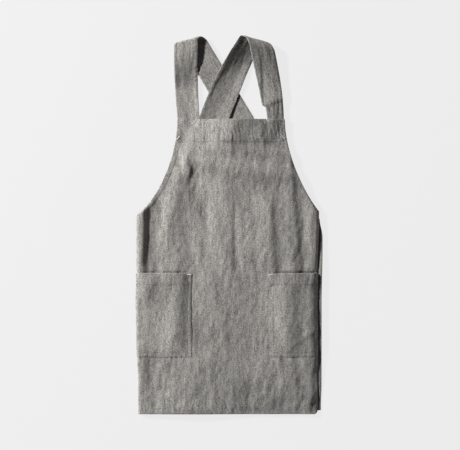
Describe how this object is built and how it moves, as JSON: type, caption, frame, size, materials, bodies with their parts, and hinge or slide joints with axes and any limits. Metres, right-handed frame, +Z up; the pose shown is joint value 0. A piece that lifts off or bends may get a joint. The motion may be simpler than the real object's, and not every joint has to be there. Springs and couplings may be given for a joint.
{
  "type": "smock apron",
  "caption": "Cross-back smock apron of heavy grey chambray laid flat, with bib, two patch pockets and wide straps that cross behind.",
  "frame": {"origin": "middle of the laid apron's outline, on the surface that it lies on", "axes": "+X to the right across the apron as seen from above, +Y from the hem to the shoulders, +Z up from the surface"},
  "size_m": [0.4538, 0.9253, 0.0334],
  "materials": {
    "chambray": "matte"
  },
  "bodies": {
    "root": {"front_panel": "chambray", "back_panel_left": "chambray", "back_panel_right": "chambray", "pocket_left": "chambray", "pocket_right": "chambray", "strap_left": "chambray", "strap_right": "chambray"}
  },
  "joints": []
}
